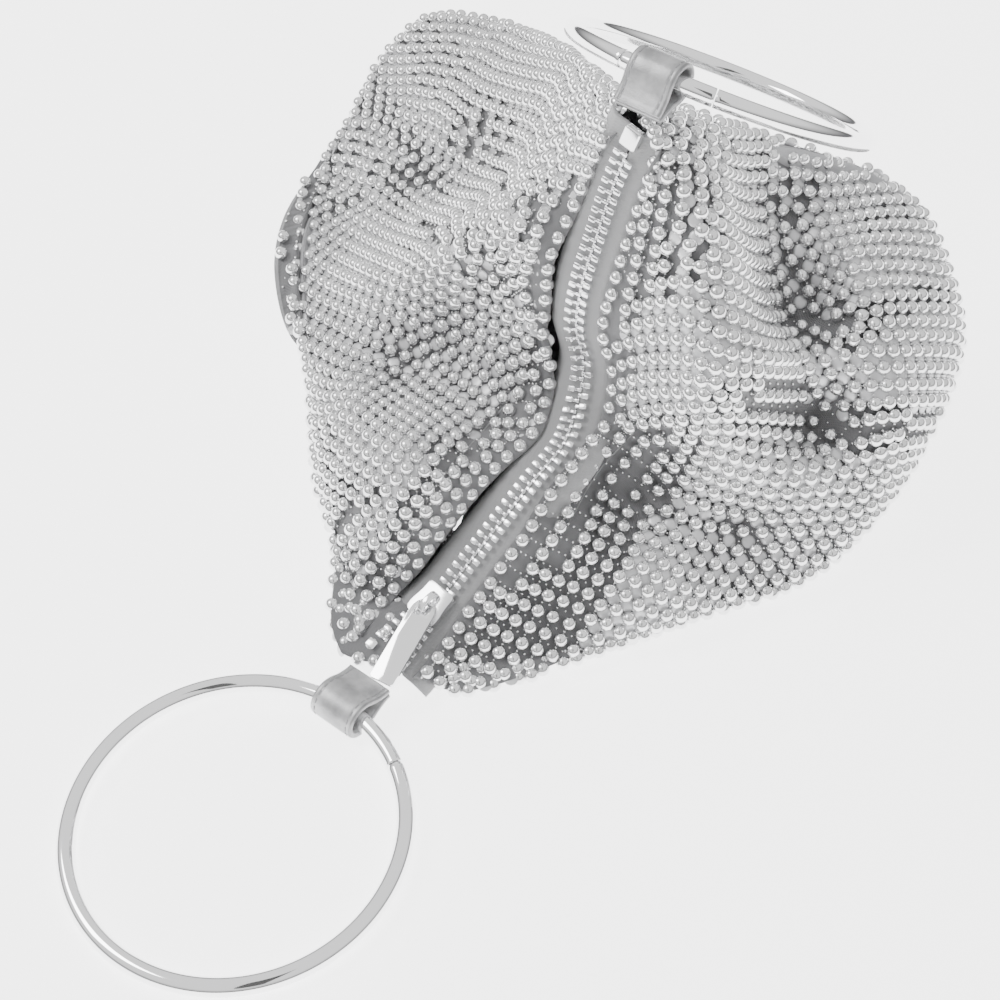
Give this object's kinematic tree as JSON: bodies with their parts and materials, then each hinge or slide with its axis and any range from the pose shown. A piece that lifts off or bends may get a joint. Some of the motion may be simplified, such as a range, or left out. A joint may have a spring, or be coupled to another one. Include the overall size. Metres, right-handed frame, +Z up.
{
  "type": "evening bag",
  "caption": "Soft four-cornered pouch of silver ball mesh with a zip along its top edge and a round metal hand ring in a leather loop at each end.",
  "frame": {"origin": "middle of the whole object's footprint, on the surface it lies on", "axes": "+X along the zip from its low front corner to its high rear corner, +Y to the bag's left, +Z up"},
  "size_m": [0.2646, 0.2046, 0.1202],
  "materials": {
    "ball_mesh": "polished silver balls on a grey cloth with satin discs between them",
    "lining": "woven, matt",
    "zip_tape": "fine herringbone",
    "zip_metal": "bright nickel",
    "ring_metal": "mirror polished",
    "strap_leather": "metallic pewter leather, painted edges"
  },
  "bodies": {
    "bag": {"mesh_panel_left": "ball_mesh", "mesh_panel_right": "ball_mesh", "lining_left": "lining", "lining_right": "lining", "zip_tape_left": "zip_tape", "zip_tape_right": "zip_tape", "zip_teeth_left": "zip_metal", "zip_teeth_right": "zip_metal", "zip_bottom_stop": "zip_metal", "zip_top_stop_left": "zip_metal", "zip_top_stop_right": "zip_metal"},
    "slider": {"slider_body": "zip_metal", "slider_bridge": "zip_metal"},
    "pull": {"pull_tab": "ring_metal"},
    "loop_front": {"leather_loop_front": "strap_leather"},
    "ring_front": {"ring_hoop_front": "ring_metal", "ring_joint_front": "ring_metal"},
    "loop_rear": {"leather_loop_rear": "strap_leather"},
    "ring_rear": {"ring_hoop_rear": "ring_metal", "ring_joint_rear": "ring_metal"}
  },
  "joints": [
    {"name": "slider_slide", "type": "slide", "parent": "bag", "child": "slider", "axis": [0.9023, -0.1262, 0.4121], "range_m": [-0.001, 0.024], "deforming": ["zip_teeth_left", "zip_teeth_right", "zip_tape_left", "zip_tape_right"]},
    {"name": "pull_swing", "type": "hinge", "parent": "slider", "child": "pull", "pos_m": [-0.02509, -0.02912, 0.01599], "axis": [-0.1478, 0.989, 0], "range_deg": [0, 140]},
    {"name": "loop_front_flex", "type": "hinge", "parent": "bag", "child": "loop_front", "pos_m": [-0.04523, -0.02755, 0.005], "axis": [0, 1, 0], "range_deg": [0, 28]},
    {"name": "ring_front_swing", "type": "hinge", "parent": "loop_front", "child": "ring_front", "pos_m": [-0.05463, -0.02755, 0.005], "axis": [0, 1, 0], "range_deg": [0, 100]},
    {"name": "loop_rear_flex", "type": "hinge", "parent": "bag", "child": "loop_rear", "pos_m": [0.05443, -0.02705, 0.1105], "axis": [0, -1, 0], "range_deg": [0, 50]},
    {"name": "ring_rear_swing", "type": "hinge", "parent": "loop_rear", "child": "ring_rear", "pos_m": [0.06257, -0.02705, 0.1152], "axis": [0, -1, 0], "range_deg": [0, 120]}
  ]
}
